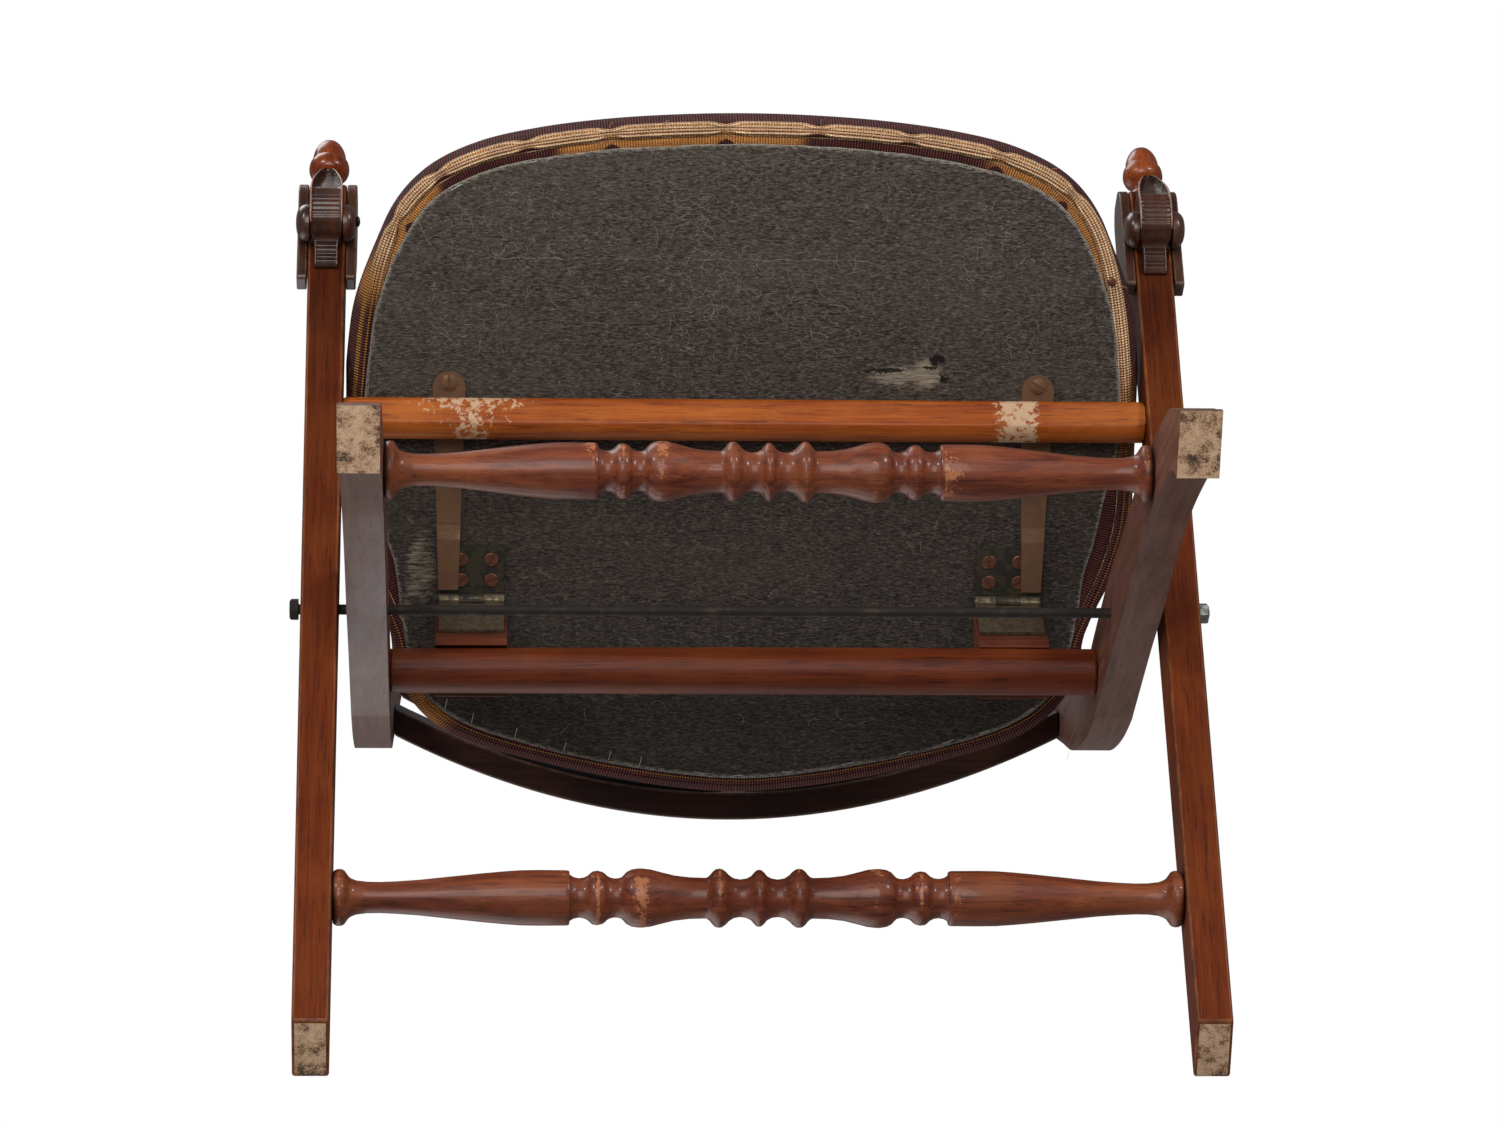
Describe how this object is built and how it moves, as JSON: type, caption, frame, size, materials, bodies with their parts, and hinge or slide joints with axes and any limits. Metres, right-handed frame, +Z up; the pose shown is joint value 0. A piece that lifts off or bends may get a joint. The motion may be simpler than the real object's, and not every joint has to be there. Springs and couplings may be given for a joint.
{
  "type": "folding side chair",
  "caption": "Folding side chair with ogee back legs, straight crossed legs with acorn finials, turned stretchers, bowed back rails and a hinged upholstered seat.",
  "frame": {"origin": "middle of the chair's bounding box, on the floor that the four soles stand on", "axes": "+Z up, -Y the front of the chair, +X to the right in a view from behind the front edge looking to the back, which is the right of the picture"},
  "size_m": [0.5206, 0.6116, 0.8389],
  "materials": {
    "walnut": "old shellac, glossy",
    "dark_walnut": "old shellac, dark",
    "rail_walnut": "worn shellac",
    "board_wood": "bare softwood",
    "bolt_iron": "dark wrought iron",
    "nut_zinc": "dull zinc plate",
    "hinge_steel": "tarnished steel",
    "runner_iron": "brown patina",
    "cover_cloth": "black cambric, dusty",
    "seat_fabric": "ribbed wool with woven bands"
  },
  "bodies": {
    "back_frame": {"back_leg_left": "walnut", "back_leg_right": "walnut", "crest_rail": "walnut", "lower_back_rail": "dark_walnut", "front_stretcher": "dark_walnut", "hinge_rail": "rail_walnut", "hinge_block_left": "dark_walnut", "hinge_block_right": "dark_walnut", "block_leaf_left": "hinge_steel", "block_leaf_right": "hinge_steel", "hinge_pin_left": "hinge_steel", "hinge_pin_right": "hinge_steel", "pivot_bolt": "bolt_iron", "pivot_nut": "nut_zinc"},
    "cross_frame": {"cross_leg_left": "walnut", "cross_leg_right": "walnut", "seat_rail": "rail_walnut", "rear_stretcher": "dark_walnut", "cheek_outer_left": "dark_walnut", "cheek_inner_left": "dark_walnut", "cheek_outer_right": "dark_walnut", "cheek_inner_right": "dark_walnut", "scroll_left": "walnut", "scroll_right": "walnut", "button_outer_left": "dark_walnut", "button_inner_left": "dark_walnut", "button_outer_right": "dark_walnut", "button_inner_right": "dark_walnut", "finial_left": "walnut", "finial_right": "walnut"},
    "seat": {"seat_board": "board_wood", "dust_cover": "cover_cloth", "cushion": "seat_fabric", "runner_left": "runner_iron", "runner_right": "runner_iron", "seat_leaf_left": "hinge_steel", "seat_leaf_right": "hinge_steel"}
  },
  "joints": [
    {"name": "fold", "type": "hinge", "parent": "back_frame", "child": "cross_frame", "pos_m": [0, -0.06277, 0.238], "axis": [-1, 0, 0], "range_deg": [0, 32]},
    {"name": "seat_hinge", "type": "hinge", "parent": "back_frame", "child": "seat", "pos_m": [0, -0.02227, 0.3503], "axis": [-1, 0, 0], "range_deg": [0, 35.2]}
  ],
  "couplings": [
    {"joint": "seat_hinge", "follows": "fold", "ratio": 1.1}
  ]
}
